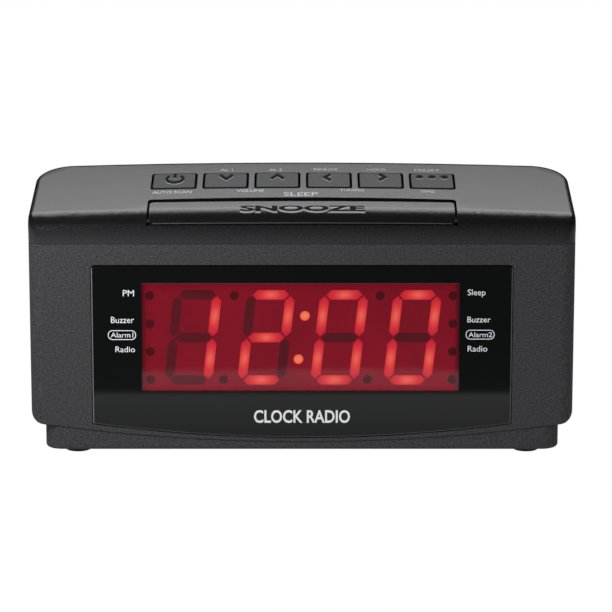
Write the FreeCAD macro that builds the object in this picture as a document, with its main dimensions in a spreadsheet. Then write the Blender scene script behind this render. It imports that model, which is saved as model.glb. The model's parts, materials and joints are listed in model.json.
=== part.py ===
"""Clock radio: a wedge-shaped mains clock with a four-digit display, top keys and a rear speaker.

Frame: X to the clock's left-to-right width, Y from the front to the back, Z up, origin under the
middle of the clock on the surface it stands on.  Depths are written from the front plane.

The keys, their circuit board, the ferrite aerial and the speaker are square to the sloping top, so
they are drawn in a "lean" frame: its origin is where the front plane meets the top surface, its Y
runs up the slope and its Z is square to the slope.  The back wall is square to the slope as well.
"""
import FreeCAD, Part
import math
import os
import re
import Sketcher

doc = FreeCAD.newDocument("clock_radio")

# ---------------------------------------------------------------- driving dimensions
DIMENSIONS = {
    # outer case
    "width": 175.4, "front": -35.3, "top_slope": 20.0, "corner_height": 79.1, "top_length": 40.8,
    "crown_radius": 2300.0, "wall": 2.4, "lip_wall": 1.2, "seam_height": 69.7, "seam_gap": 0.15,
    "lip_rise": 1.5, "front_round": 8.0, "front_corner": 5.0, "rear_corner": 12.0,
    "side_round": 2.0, "ridge_round": 4.0, "bottom_round": 4.5, "skirt_height": 11.4,
    "skirt_radius": 610.0, "skirt_edge": 0.5, "reach": 200.0,
    # base and feet
    "base_width": 166.6, "base_setback": 0.5, "base_back": 66.8, "base_height": 12.0,
    "base_wall": 3.0, "base_low": 2.4, "floor": 2.0, "base_corner": 6.0,
    "base_rear_corner": 11.4, "base_edge": 1.2, "foot_radius": 4.8, "foot_side": 73.3,
    "foot_front": 11.5, "foot_rear": 60.5, "foot_dome": 1.8,
    # front panel and display
    "panel_width": 135.3, "panel_top": 62.9, "panel_side_low": 10.9, "panel_radius": 497.0,
    "panel_thick": 1.5, "panel_gap": 0.25, "panel_bevel": 0.35, "panel_corner": 1.5,
    "window_middle": -0.5, "window_width": 102.1, "window_low": 21.8, "window_high": 57.1,
    "window_step": 0.3, "filter_flange": 1.0, "flange_margin": 2.2, "opening_margin": 3.6,
    "display_front": 4.2, "display_back": 12.2, "display_inset": 0.15, "display_over": 2.0,
    "board_thick": 1.6, "light_depth": 7.0, "digit_low": 23.1, "digit_high": 54.1, "digit_pitch": 23.6,
    "digits_middle": 0.25, "digit_width": 15.6, "stroke": 3.1, "slant": 6.5, "stroke_gap": 0.35,
    "colon_radius": 1.6, "dot_radius": 1.45, "dot_top": 52.3,
    "dot_pitch": 9.15, "dot_side": 48.8, "dot_middle": -0.2, "chip_size": 1.4, "chip_thick": 0.8,
    "display_board_width": 126.0, "display_board_low": 15.0, "display_board_high": 61.0,
    "display_post_side": 60.0, "display_post_low": 26.0, "display_post_high": 52.0,
    # keys, in the lean frame
    "key_pitch": 16.865, "key_shift": 0.38, "key_hole": 15.1, "key_gap": 0.6,
    "key_front": 18.65, "key_front_gap": 0.4, "key_back": 30.2, "key_corner": 1.0,
    "key_sink": 6.0, "key_top": 3.0, "key_edge": 0.4, "key_proud": 0.3, "flange_top": 3.6,
    "flange_thick": 1.2, "flange_rim": 0.6, "stem_radius": 2.0, "stem_end": 7.3,
    "snooze_half": 49.6, "snooze_front": -0.83, "snooze_back": 11.5, "snooze_arc": 1890.0,
    "snooze_gap": 0.75, "snooze_front_gap": 0.22, "snooze_back_gap": 2.1,
    "snooze_corner": 1.3, "snooze_stem": 6.2, "snooze_hang": 2.0,
    "switch_size": 6.0, "switch_top": 8.5, "switch_bottom": 12.0, "switch_bore": 1.85,
    "plunger_radius": 1.75, "plunger_end": 9.9, "switch_bore_end": 11.0,
    "key_board_half": 57.0, "key_board_front": 2.6, "key_board_back": 35.0, "key_post_side": 54.0,
    # electronics on the main board
    "main_left": -8.0, "main_right": 70.0, "main_front": 16.5, "main_back": 58.5,
    "main_height": 21.0, "jack_middle": 60.0, "jack_height": 28.5, "jack_radius": 4.0,
    "jack_bore": 2.75, "jack_pin": 1.0, "jack_front": 43.0, "jack_back": 57.0, "jack_nose": 60.0,
    # battery bay
    "bay_half": 24.5, "bay_front": 34.5, "bay_back": 58.0, "bay_top": 16.5, "bay_wall": 1.5,
    "door_gap": 0.3, "door_thick": 1.8, "hinge_radius": 0.8, "hinge_play": 0.05,
    "cell_radius": 5.25, "cell_length": 43.6, "cell_height": 10.2,
    # speaker and aerial, in the lean frame
    "speaker_x": -42.0, "speaker_drop": 52.0, "speaker_radius": 25.0, "speaker_flange": 37.0,
    "basket_radius": 22.5, "basket_neck": 14.0, "basket_end": 27.0, "sheet_metal": 0.9,
    "magnet_radius": 14.0, "magnet_end": 19.0, "gap_outer": 7.1, "gap_inner": 6.1,
    "slot_width": 1.8, "slot_pitch": 4.4, "slot_reach": 21.0,
    "rod_radius": 4.0, "rod_half": 40.0, "rod_along": 33.0, "rod_drop": 21.0,
    "coil_radius": 5.4, "coil_length": 20.0,
    # fasteners
    "case_screw_side": 76.0, "case_screw_front": 20.5, "case_screw_rear": 33.0,
    "case_post": 4.0, "case_screw": 1.5, "case_head": 2.8, "post_split": 30.0,
    "board_post": 2.6, "board_screw": 0.9, "board_head": 1.9, "board_head_deep": 1.3,
    "speaker_boss": 2.2, "speaker_screw": 1.1, "speaker_circle": 27.6,
    "cone_rim": 19.6, "cone_neck": 7.0, "aerial_x": 30.0, "aerial_drop": 60.0, "aerial_bore": 1.1,
}

sheet = doc.addObject("Spreadsheet::Sheet", "dims")
for line, (alias, size) in enumerate(DIMENSIONS.items(), start=1):
    sheet.set(f"A{line}", alias)
    sheet.set(f"B{line}", str(size))
    sheet.setAlias(f"B{line}", alias)
doc.recompute()

NODES = []


# ---------------------------------------------------------------- helpers
def formula(text):
    """Turn a formula over the sheet's words into a FreeCAD expression."""
    return re.sub(r"[a-z_]+", lambda word: "dims." + word.group() if word.group() in DIMENSIONS
                  else word.group(), str(text))


def value(text):
    """The number that a formula over the sheet's words has now."""
    return float(sheet.evalExpression(formula(text)))


def tie(thing, name, text):
    thing.setExpression(name, formula(text))


def add(kind, name):
    return doc.addObject(kind, name)


def place(thing, x, y, z):
    """Put a thing in the upright frame, with y measured from the front plane."""
    tie(thing, ".Placement.Base.x", x)
    tie(thing, ".Placement.Base.y", f"front + ({y})")
    tie(thing, ".Placement.Base.z", z)
    return thing


def lean(thing):
    """Carry a thing that was drawn in the lean frame to its place on the clock."""
    thing.Placement = FreeCAD.Placement(FreeCAD.Vector(), FreeCAD.Rotation(FreeCAD.Vector(1, 0, 0), 20))
    tie(thing, ".Placement.Rotation.Angle", "top_slope")
    tie(thing, ".Placement.Base.y", "front")
    tie(thing, ".Placement.Base.z", "corner_height")
    return thing


def block(x, y, z, leaning=False, name="block"):
    """A box between two limits on each axis."""
    box = add("Part::Box", name)
    for side, (low, high) in zip(("Length", "Width", "Height"), (x, y, z)):
        tie(box, side, f"({high}) - ({low})")
    tie(box, ".Placement.Base.x", x[0])
    tie(box, ".Placement.Base.y", y[0] if leaning else f"front + ({y[0]})")
    tie(box, ".Placement.Base.z", z[0])
    return box


TURNS = {"X": ((0, 1, 0), 90), "Y": ((1, 0, 0), -90), "Z": ((0, 0, 1), 0)}


def rod(at, axis, length, radius, leaning=False, end_radius=None, name="rod"):
    """A round bar, or a cone when end_radius is given, along an axis from the point at."""
    bar = add("Part::Cylinder" if end_radius is None else "Part::Cone", name)
    tie(bar, "Height", length)
    tie(bar, "Radius" if end_radius is None else "Radius1", radius)
    if end_radius is not None:
        tie(bar, "Radius2", end_radius)
    way, angle = TURNS[axis]
    bar.Placement = FreeCAD.Placement(FreeCAD.Vector(),
                                      FreeCAD.Rotation(FreeCAD.Vector(*way), angle))
    tie(bar, ".Placement.Base.x", at[0])
    tie(bar, ".Placement.Base.y", at[1] if leaning else f"front + ({at[1]})")
    tie(bar, ".Placement.Base.z", at[2])
    return bar


def fuse(pieces, name="fuse"):
    joined = add("Part::MultiFuse", name)
    joined.Shapes = pieces
    return joined


def common(pieces, name="common"):
    shared = add("Part::MultiCommon", name)
    shared.Shapes = pieces
    return shared


def cut(base, tools, name="cut"):
    """Take tools away from base."""
    result = add("Part::Cut", name)
    result.Base = base
    result.Tool = tools[0] if len(tools) == 1 else fuse(tools)
    return result


def rounded(base, radius, wanted, name="rounded", kind="Part::Fillet"):
    """Round, or bevel, the edges of base for which wanted(middle point, edge) is true."""
    doc.recompute()
    size = value(radius)
    edges = [(number, size, size) for number, edge in enumerate(base.Shape.Edges, start=1)
             if wanted(middle(edge), edge)]
    result = add(kind, name)
    result.Base = base
    result.Edges = edges
    return result


def rear_upright(at, edge):
    """Whether an edge of a block is one of its two upright rear ones."""
    return at.y > 0 and abs(edge.tangentAt(edge.FirstParameter).z) > 0.99


def middle(edge):
    return edge.valueAt((edge.FirstParameter + edge.LastParameter) / 2)


def outline(name, plane, corners, length, arcs=None):
    """A pad along the plane's own axis (+X, +Y or +Z) with a sketched outline of lines and arcs.

    corners run anticlockwise as the sketch sees them; arcs maps a corner's number to the radius of
    the outward arc that leaves it.
    """
    arcs = arcs or {}
    body = add("PartDesign::Body", name)
    sketch = body.newObject("Sketcher::SketchObject", name + "_outline")
    origin = next(item for item in body.Origin.OriginFeatures if item.Role == plane)
    sketch.AttachmentSupport = [(origin, "")]
    sketch.MapMode = "FlatFace"
    points = [FreeCAD.Vector(value(u), value(v), 0) for u, v in corners]
    for number, start in enumerate(points):
        stop = points[(number + 1) % len(points)]
        if number in arcs:
            radius = value(arcs[number])
            chord = stop - start
            sag = radius - math.sqrt(radius ** 2 - (chord.Length / 2) ** 2)
            outward = FreeCAD.Vector(chord.y, -chord.x, 0).normalize()
            top = (start + stop) * 0.5 + outward * sag
            sketch.addGeometry(Part.Arc(start, top, stop))
            tie_radius = sketch.addConstraint(Sketcher.Constraint("Radius", number, radius))
            tie(sketch, f"Constraints[{tie_radius}]", arcs[number])
        else:
            sketch.addGeometry(Part.LineSegment(start, stop))
    for number, (u, v) in enumerate(corners):
        sketch.addConstraint(Sketcher.Constraint("Coincident", number, 2,
                                                 (number + 1) % len(points), 1))
        for kind, text in (("DistanceX", u), ("DistanceY", v)):
            constraint = sketch.addConstraint(Sketcher.Constraint(kind, -1, 1, number, 1, value(text)))
            tie(sketch, f"Constraints[{constraint}]", text)
    pad = body.newObject("PartDesign::Pad", name + "_pad")
    pad.Profile = sketch
    pad.Reversed = plane == "XZ_Plane"
    tie(pad, "Length", length)
    sketch.Visibility = False
    return body


def node(name, pieces, leaning=False):
    """Give a finished sub-part its label and its place."""
    if leaning or len(pieces) > 1:
        whole = add("Part::Compound", name)
        whole.Links = pieces
        if leaning:
            lean(whole)
    else:
        whole = pieces[0]
    whole.Label = name
    NODES.append(whole)
    return whole


# ---------------------------------------------------------------- case envelope
def wedge(inset, name):
    """The case's outside moved in by inset: sloping crowned top and a back square to it."""
    slab = block((f"-width/2 + {inset}", f"width/2 - {inset}"),
                 (f"top_length - {inset} - reach", f"top_length - {inset}"),
                 ("-reach", "20"), leaning=True)
    crown = rod(("0", "-reach", "-crown_radius"), "Y", "2*reach", f"crown_radius - {inset}",
                leaning=True)
    sloping = lean(common([slab, crown]))
    upright = block(("-reach", "reach"), (inset, f"{inset} + reach"), ("0", "reach"))
    return common([sloping, upright], name)


def lean_point(point):
    """A point of the clock as the lean frame sees it."""
    place_of_lean = FreeCAD.Placement(FreeCAD.Vector(0, value("front"), value("corner_height")),
                                      FreeCAD.Rotation(FreeCAD.Vector(1, 0, 0), value("top_slope")))
    return place_of_lean.inverse().multVec(point)


def shape_corners(base, inset, name):
    """Round the long front edge and the two upright rear corners of a wedge."""
    doc.recompute()
    front_round = max(value(f"front_round - {inset}"), 0.5)
    rear_corner = value(f"rear_corner - {inset}")
    half = value(f"width/2 - {inset}")
    back = value(f"top_length - {inset}")
    edges = []
    for number, edge in enumerate(base.Shape.Edges, start=1):
        at = lean_point(middle(edge))
        if abs(at.x) < 1 and abs(at.y) < value(inset) + 1.5 and at.z > -value(inset) - 2:
            edges.append((number, front_round, front_round))
        if abs(abs(at.x) - half) < 0.1 and abs(at.y - back) < 0.1:
            edges.append((number, rear_corner, rear_corner))
    result = add("Part::Fillet", name)
    result.Base = base
    result.Edges = edges
    return result


def soften_rim(base, name):
    """One rounding that runs up the front corners, along the top's sides and over the rear ridge."""
    doc.recompute()
    half, back = value("width/2"), value("top_length")
    corner, side, ridge = value("front_corner"), value("side_round"), value("ridge_round")
    found = {}
    for number, edge in enumerate(base.Shape.Edges, start=1):
        at = lean_point(middle(edge))
        hand = "left" if at.x < 0 else "right"
        on_side = abs(abs(at.x) - half) < 0.1
        if on_side and at.z > -2.5 and at.y > 5:
            found["slope", hand] = number
        elif on_side and abs(at.y) < 2 and at.z > -5:
            found["brow", hand] = number
        elif on_side and at.y < -5 and middle(edge).y < value("front") + 0.1:
            found["front", hand] = number
        elif at.z > -2.5 and at.y > back - 6 and abs(at.x) > half - 8:
            found["rear", hand] = number
        elif at.z > -2.5 and abs(at.y - back) < 0.1:
            found["ridge", "middle"] = number
    run = [("front", corner, corner), ("brow", corner, side), ("slope", side, side),
           ("rear", side, ridge)]
    edges = [(found[part, "left"], start, stop) for part, start, stop in run]
    edges.append((found["ridge", "middle"], ridge, ridge))
    edges += [(found[part, "right"], stop, start) for part, start, stop in reversed(run)]
    result = add("Part::Fillet", name)
    result.Base = base
    result.Edges = edges
    return result


def skirt(inset, name):
    """The front view of the case: straight sides over a bottom edge that sags in the middle."""
    half = f"width/2 - {inset}"
    body = outline(name, "XZ_Plane",
                   [(f"-({half})", f"skirt_height + {inset}"), (half, f"skirt_height + {inset}"),
                    (half, "reach"), (f"-({half})", "reach")],
                   "2*reach", {0: f"skirt_radius - {inset}"})
    place(body, "0", "-reach", "0")
    low = value(f"skirt_height + {inset}")
    reach = value(half)
    return rounded(body, f"bottom_round - {inset}",
                   lambda at, edge: abs(abs(at.x) - reach) < 0.01 and abs(at.z - low) < 0.01)


def plan(inset):
    """An upright prism with the case's rounded front corners, moved in by inset."""
    half = f"(width/2 - {inset})"
    prism = block((f"-{half}", half), (inset, "reach"), ("0", "reach"))
    return rounded(prism, f"front_corner - {inset}",
                   lambda at, edge: abs(at.z - value("reach/2")) < 0.01 and at.y < 0)


outer_wedge = shape_corners(wedge("0", "outer_wedge"), "0", "outer_wedge_cornered")
outer_sharp = common([soften_rim(outer_wedge, "outer_soft"), skirt("0", "outer_skirt")])
outer = rounded(outer_sharp, "skirt_edge",
                lambda at, edge: abs(at.x) < 1 and abs(at.y - value("front")) < 0.01
                and at.z < value("skirt_height"), "outer")
lip = common([shape_corners(wedge("lip_wall", "lip_wedge"), "lip_wall", "lip_wedge_cornered"),
              skirt("lip_wall", "lip_skirt"), plan("lip_wall")], "lip")
inner = common([shape_corners(wedge("wall", "inner_wedge"), "wall", "inner_wedge_cornered"),
                skirt("wall", "inner_skirt"), plan("wall")], "inner")
EVERYWHERE = ("-reach", "reach")


def above(height):
    return block(EVERYWHERE, EVERYWHERE, (height, f"({height}) + reach"))


def below(height):
    return block(EVERYWHERE, EVERYWHERE, (f"({height}) - reach", height))


# ---------------------------------------------------------------- places that repeat
KEYS = ["power_button", "volume_down_button", "volume_up_button", "tuning_down_button",
        "tuning_up_button", "preset_button"]
KEY_MIDDLES = [f"key_shift + ({number} - 2.5) * key_pitch" for number in range(len(KEYS))]
SWITCH_PLACES = [(x, "(key_front + key_back)/2") for x in KEY_MIDDLES] + [("0", "snooze_stem")]
CASE_SCREWS = [(f"{side} * case_screw_side", along) for side in (-1, 1)
               for along in ("case_screw_front", "case_screw_rear")]
KEY_SCREWS = [(f"{side} * key_post_side", along) for side in (-1, 1) for along in ("8", "32")]
MAIN_SCREWS = [("-3", "22"), ("67.2", "22"), ("67.2", "38"), ("50", "55")]
DISPLAY_SCREWS = [(f"{side} * display_post_side", height) for side in (-1, 1)
                  for height in ("display_post_low", "display_post_high")]
SPEAKER_SCREWS = [(f"speaker_x + speaker_circle * cos({angle})",
                   f"-speaker_drop + speaker_circle * sin({angle})")
                  for angle in (35, 155, 275)]
DISPLAY_BOARD_BACK = "display_back + board_thick"


def panel_outline(name, inset, at_depth, length):
    """The front panel's outline, moved in by inset, from a depth backwards."""
    half = f"panel_width/2 - {inset}"
    body = outline(name, "XZ_Plane",
                   [(f"-({half})", f"panel_side_low + {inset}"), (half, f"panel_side_low + {inset}"),
                    (half, f"panel_top - {inset}"), (f"-({half})", f"panel_top - {inset}")],
                   length, {0: f"panel_radius - {inset}"})
    place(body, "0", at_depth, "0")
    high, side = value(f"panel_top - {inset}"), value(half)
    return rounded(body, f"panel_corner - {inset}",
                   lambda at, edge: abs(at.z - high) < 0.01 and abs(abs(at.x) - side) < 0.01)


def window_block(margin, front, back):
    half = f"(window_width/2 + {margin})"
    return block((f"window_middle - {half}", f"window_middle + {half}"), (front, back),
                 (f"window_low - {margin}", f"window_high + {margin}"))


# ---------------------------------------------------------------- cabinet
cabinet_shell = cut(common([outer, below("seam_height - seam_gap")]), [inner])
cabinet_lip = cut(common([lip, block(EVERYWHERE, EVERYWHERE,
                                     ("seam_height - 4", "seam_height + lip_rise"))]), [inner])
display_posts = [rod((x, "panel_thick", z), "Y", "display_back - panel_thick", "board_post")
                 for x, z in DISPLAY_SCREWS]
speaker_bosses = [rod((x, "speaker_flange", z), "Y", "top_length - wall/2 - speaker_flange", "speaker_boss",
                      leaning=True) for x, z in SPEAKER_SCREWS]
slots = []
for number in range(-4, 5):
    half_slot = f"sqrt(slot_reach^2 - ({number} * slot_pitch)^2)"
    slots.append(block((f"speaker_x - {half_slot}", f"speaker_x + {half_slot}"),
                       ("speaker_flange - 1", "top_length + 5"),
                       (f"-speaker_drop + {number} * slot_pitch - slot_width/2",
                        f"-speaker_drop + {number} * slot_pitch + slot_width/2"), leaning=True))
rear_holes = lean(fuse(slots + [
    rod((x, "speaker_flange - 1", z), "Y", "4", "speaker_screw", leaning=True) for x, z in SPEAKER_SCREWS]
    + [rod(("aerial_x", "30", "-aerial_drop"), "Y", "20", "2.0", leaning=True)], "rear_holes"))
base_opening = rounded(block(("-base_width/2", "base_width/2"), ("wall", "base_back - 2"),
                             ("-reach", "base_height + 2")), "base_rear_corner", rear_upright)
cabinet = cut(
    fuse([cabinet_shell, cabinet_lip, lean(fuse(speaker_bosses))] + display_posts),
    [panel_outline("panel_recess", "0", "-1", "panel_thick + 1"),
     window_block("opening_margin", "0", "6"), rear_holes, base_opening,
     rod(("jack_middle", "50", "jack_height"), "Y", "20", "jack_radius + 0.2")]
    + [rod((x, "panel_thick + 3", z), "Y", "20", "board_screw") for x, z in DISPLAY_SCREWS],
    "cabinet_solid")
node("cabinet", [cabinet])

# ---------------------------------------------------------------- top cover
key_holes = [rounded(block((f"{x} - key_hole/2", f"{x} + key_hole/2"), ("key_front", "key_back"),
                           ("-12", "12"), leaning=True), "key_corner",
                     lambda at, edge: abs(at.z) < 0.01) for x in KEY_MIDDLES]
snooze_hole = outline("snooze_hole", "XY_Plane",
                      [("-snooze_half", "snooze_front"), ("snooze_half", "snooze_front"),
                       ("snooze_half", "snooze_back"), ("-snooze_half", "snooze_back")],
                      "20", {2: "snooze_arc"})
snooze_hole.Placement.Base.z = -8
snooze_hole = rounded(snooze_hole, "snooze_corner",
                      lambda at, edge: abs(at.z - 2) < 0.01 and at.y > 0)
case_posts = common([inner, fuse([rod((x, y, "post_split"), "Z", "reach", "case_post")
                                  for x, y in CASE_SCREWS])])
key_posts = common([inner, lean(fuse([rod((x, y, "-switch_bottom"), "Z", "30", "2.4", leaning=True)
                                      for x, y in KEY_SCREWS]))])
key_post_bores = lean(fuse([rod((x, y, "-switch_bottom - 1"), "Z", "8", "board_screw", leaning=True)
                            for x, y in KEY_SCREWS]))
top_cover = cut(
    fuse([cut(common([outer, above("seam_height")]), [inner]), case_posts, key_posts]),
    [lean(fuse(key_holes + [snooze_hole])), key_post_bores,
     cut(common([lip, block(EVERYWHERE, EVERYWHERE, ("seam_height - 1", "seam_height + lip_rise"))]),
         [inner])]
    + [rod((x, y, "0"), "Z", "post_split + 14", "case_screw") for x, y in CASE_SCREWS],
    "top_cover_solid")
node("top_cover", [top_cover])

# ---------------------------------------------------------------- base, feet and battery door
plinth = block(("-base_width/2", "base_width/2"), ("base_setback", "base_back"),
               ("base_low", "base_height"))
for radius, in_front in (("base_corner", True), ("base_rear_corner", False)):
    plinth = rounded(plinth, radius, lambda at, edge: (at.y < 0) == in_front
                     and abs(at.z - value("(base_low + base_height)/2")) < 0.01
                     and edge.Curve.TypeId == "Part::GeomLine" and edge.Length < 12)
under = value("base_low")
plinth = rounded(plinth, "base_edge", lambda at, edge: abs(at.z - under) < 0.01)
hollow = block(("base_wall - base_width/2", "base_width/2 - base_wall"),
               ("base_setback + base_wall + 0.7", "base_back - base_wall"),
               ("base_low + floor", "base_height + 1"))
hollow = rounded(hollow, "base_rear_corner - base_wall", rear_upright)
bay = block(("-bay_half - bay_wall", "bay_half + bay_wall"),
            ("bay_front - bay_wall", "bay_back + bay_wall"), ("base_low", "bay_top + bay_wall"))
panel_keepout = panel_outline("panel_keepout", "0", "-1", "panel_thick + 1")
main_posts = [rod((x, y, "base_low + 0.5"), "Z", "main_height - base_low - 0.5", "2.8")
              for x, y in MAIN_SCREWS]
case_sleeves = [rod((x, y, "base_low + 0.5"), "Z", "post_split - base_low - 0.5", "case_post")
                for x, y in CASE_SCREWS]
screw_bores = [rod((x, y, "0"), "Z", "post_split + 1", "case_screw") for x, y in CASE_SCREWS]
head_bores = [rod((x, y, "0"), "Z", "8", "case_head + 0.2") for x, y in CASE_SCREWS]
hinge_bore = rod(("-bay_half - 1", "bay_front + door_gap + door_thick/2",
                  "base_low + door_thick/2"), "X", "2*bay_half + 2", "hinge_radius + hinge_play")
base = cut(
    fuse([cut(cut(plinth, [hollow, panel_keepout]), [cabinet]), bay] + main_posts + case_sleeves),
    [block(("-bay_half", "bay_half"), ("bay_front", "bay_back"), ("0", "bay_top")), hinge_bore]
    + screw_bores + head_bores
    + [rod((x, y, "main_height - 8"), "Z", "10", "1.0") for x, y in MAIN_SCREWS],
    "base_solid")
node("base", [base])

node("rubber_feet", [
    rounded(rod((f"{side} * foot_side", along, "0"), "Z", "base_low", "foot_radius"), "foot_dome",
            lambda at, edge: abs(at.z) < 0.01)
    for side in (-1, 1) for along in ("foot_front", "foot_rear")])

HINGE = ("bay_front + door_gap + door_thick/2", "base_low + door_thick/2")
door_plate = block(("door_gap - bay_half", "bay_half - door_gap"),
                   (HINGE[0], "bay_back - door_gap"), ("base_low", "base_low + door_thick"))
door_knuckle = rod(("door_gap - bay_half", HINGE[0], HINGE[1]), "X", "2*(bay_half - door_gap)",
                   "door_thick/2")
door_pins = rod(("-bay_half - 0.8", HINGE[0], HINGE[1]), "X", "2*bay_half + 1.6", "hinge_radius")
finger_notch = rod(("0", "bay_back + 2", "base_low - 0.4"), "Z", "1.2", "7")
node("battery_door", [cut(fuse([door_plate, door_knuckle, door_pins]), [finger_notch])])

cell_middles = ["bay_front + 1 + cell_radius", "bay_back - 1 - cell_radius"]
node("backup_batteries", [
    fuse([rod(("-cell_length/2", y, "cell_height"), "X", "cell_length - 1", "cell_radius"),
          rod(("-cell_length/2", y, "cell_height"), "X", "cell_length", "1.9")])
    for y in cell_middles])
node("battery_contacts", [
    fuse([block((f"{side} * (bay_half - 0.2) - 0.2", f"{side} * (bay_half - 0.2) + 0.2"),
                (f"{y} - 4", f"{y} + 4"), ("cell_height - 4", "cell_height + 4")),
          rod((low, y, "cell_height"), "X", f"bay_half - 0.3 - ({start})", "2.6")])
    for y in cell_middles
    for side, low, start in ((-1, "0.3 - bay_half", "cell_length/2"),
                             (1, "cell_length/2", "cell_length/2"))])

# ---------------------------------------------------------------- front panel and display
front_plane = value("front")
bevelled = rounded(panel_outline("panel", "panel_gap", "0", "panel_thick"), "panel_bevel",
                   lambda at, edge: abs(at.y - front_plane) < 0.01,
                   kind="Part::Chamfer")
node("bezel_panel", [cut(bevelled, [window_block("0", "-1", "panel_thick + 1")])])
node("display_filter", [fuse([
    window_block("0", "window_step", "panel_thick + 0.5"),
    window_block("flange_margin", "panel_thick", "panel_thick + filter_flange")])])

LEAN = "tan(slant)"
DIGIT_MIDDLE = "(digit_low + digit_high)/2"


def bar(middle_x, middle_z, length, upright, depth):
    """One pointed light bar of a digit, leaning to the right with the digit."""
    half, thin = value(f"({length})/2 - stroke_gap"), value("stroke/2")
    slope = value(LEAN)
    if upright:
        outline_points = [(-thin, -half + thin), (0, -half), (thin, -half + thin),
                          (thin, half - thin), (0, half), (-thin, half - thin)]
    else:
        outline_points = [(-half + thin, -thin), (half - thin, -thin), (half, 0),
                          (half - thin, thin), (-half + thin, thin), (-half, 0)]
    x, z = value(middle_x), value(middle_z)
    corners = []
    for along, up in outline_points:
        height = z + up
        corners.append(FreeCAD.Vector(x + along + (height - value(DIGIT_MIDDLE)) * slope, 0, height))
    face = Part.Face(Part.makePolygon(corners + corners[:1]))
    return face.extrude(FreeCAD.Vector(0, value(depth), 0))


def digit_bars(number, depth):
    """The seven bars of digit 0 to 3, named a to g from the top round to the middle."""
    x = f"digits_middle + ({number} - 1.5) * digit_pitch"
    side = "(digit_width - stroke)/2"
    tall = "(digit_high - digit_low - stroke)/2"
    quarter = "(digit_high - digit_low - stroke)/4"
    top, low = "digit_high - stroke/2", "digit_low + stroke/2"
    wide = "digit_width - stroke"
    places = {"a": (x, top, wide, False), "g": (x, DIGIT_MIDDLE, wide, False),
              "d": (x, low, wide, False),
              "b": (f"{x} + {side}", f"{DIGIT_MIDDLE} + {quarter}", tall, True),
              "c": (f"{x} + {side}", f"{DIGIT_MIDDLE} - {quarter}", tall, True),
              "e": (f"{x} - {side}", f"{DIGIT_MIDDLE} - {quarter}", tall, True),
              "f": (f"{x} - {side}", f"{DIGIT_MIDDLE} + {quarter}", tall, True)}
    return {letter: bar(*where, depth) for letter, where in places.items()}


SHOWN = ["bc", "abged", "abcdef", "abcdef"]


def solids(name, shapes, start="display_front"):
    """Several solids that are one moulded or filled sub-part, set in the display's face."""
    thing = add("Part::Feature", name)
    thing.Shape = Part.makeCompound(shapes)
    return place(thing, "0", start, "0")


def light_dot(x, z, radius, depth):
    return Part.makeCylinder(value(radius), value(depth),
                             FreeCAD.Vector(value(x), 0, value(z)), FreeCAD.Vector(0, 1, 0))


COLON = [("0.95", "45.7"), ("-1.15", "31.5")]
DOTS = [(f"dot_middle + {side} * dot_side", f"dot_top - {row} * dot_pitch")
        for side in (-1, 1) for row in range(4)]
DOTS += [(x, f"dot_top - {row} * dot_pitch")
         for x, row in (("-21.8", 0), ("-25.4", 3), ("25.2", 0), ("21.2", 3))]


def lights(depth):
    """Every light bar and dot, cut to one depth: lit bars, dark bars, colon and small dots."""
    groups = {"lit": [], "dark": [], "colon": [], "dots": []}
    for number, shown in enumerate(SHOWN):
        for letter, shape in digit_bars(number, depth).items():
            groups["lit" if letter in shown else "dark"].append(shape)
    groups["colon"] = [light_dot(x, z, "colon_radius", depth) for x, z in COLON]
    groups["dots"] = [light_dot(x, z, "dot_radius", depth) for x, z in DOTS]
    return groups


guides = lights("light_depth")
node("digit_segments_lit", [solids("lit_bars", guides["lit"])])
node("digit_segments_dark", [solids("dark_bars", guides["dark"])])
node("colon_dots", [solids("colon_lights", guides["colon"])])
node("indicator_dots", [solids("indicator_lights", guides["dots"])])
every_guide = sum(guides.values(), [])
ways = sum(lights("display_back - display_front + 2").values(), [])

housing_block = block(
    ("window_middle - window_width/2 + display_inset", "window_middle + window_width/2 - display_inset"),
    ("display_front", "display_back"),
    ("window_low - display_over", "window_high + display_over"))
node("display_housing", [cut(housing_block, [solids("light_ways", ways, "display_front - 1")])])


def chip(shape):
    """A light-emitting chip on the board, behind the middle of a light bar or dot."""
    at = shape.BoundBox.Center
    size = value("chip_size")
    return Part.makeBox(size, value("chip_thick"), size,
                        FreeCAD.Vector(at.x - size / 2, 0, at.z - size / 2))


chips = add("Part::Feature", "led_chips")
chips.Shape = Part.makeCompound([chip(shape) for shape in every_guide])
place(chips, "0", "display_back - chip_thick", "0")
node("led_chips", [chips])

display_board = cut(
    block(("-display_board_width/2", "display_board_width/2"), ("display_back", DISPLAY_BOARD_BACK),
          ("display_board_low", "display_board_high")),
    [rod((x, "display_back - 1", z), "Y", "5", "1.2") for x, z in DISPLAY_SCREWS])
node("display_board", [display_board])


FACINGS = {"up": 0, "back": -90, "down": 180, "front": 90}


def screw(at, facing, shank_length, shank, head, head_length, leaning=False):
    """A cross-head screw: at is the middle of the seat under its head, facing the way it looks."""
    body = fuse([rod(("0", "0", "0"), "Z", head_length, head, leaning=True),
                 rod(("0", "0", f"-({shank_length})"), "Z", shank_length, shank, leaning=True)])
    arm, half = f"({head}) * 0.6", "0.28"
    depth = (f"{head_length} - 0.7", f"{head_length} + 1")
    cross = [block((f"-{arm}", arm), (f"-{half}", half), depth, leaning=True),
             block((f"-{half}", half), (f"-{arm}", arm), depth, leaning=True)]
    driven = cut(body, cross)
    driven.Placement = FreeCAD.Placement(
        FreeCAD.Vector(), FreeCAD.Rotation(FreeCAD.Vector(1, 0, 0), FACINGS[facing]))
    if leaning:
        tie(driven, ".Placement.Base.x", at[0])
        tie(driven, ".Placement.Base.y", at[1])
        tie(driven, ".Placement.Base.z", at[2])
        return driven
    return place(driven, *at)


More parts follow.
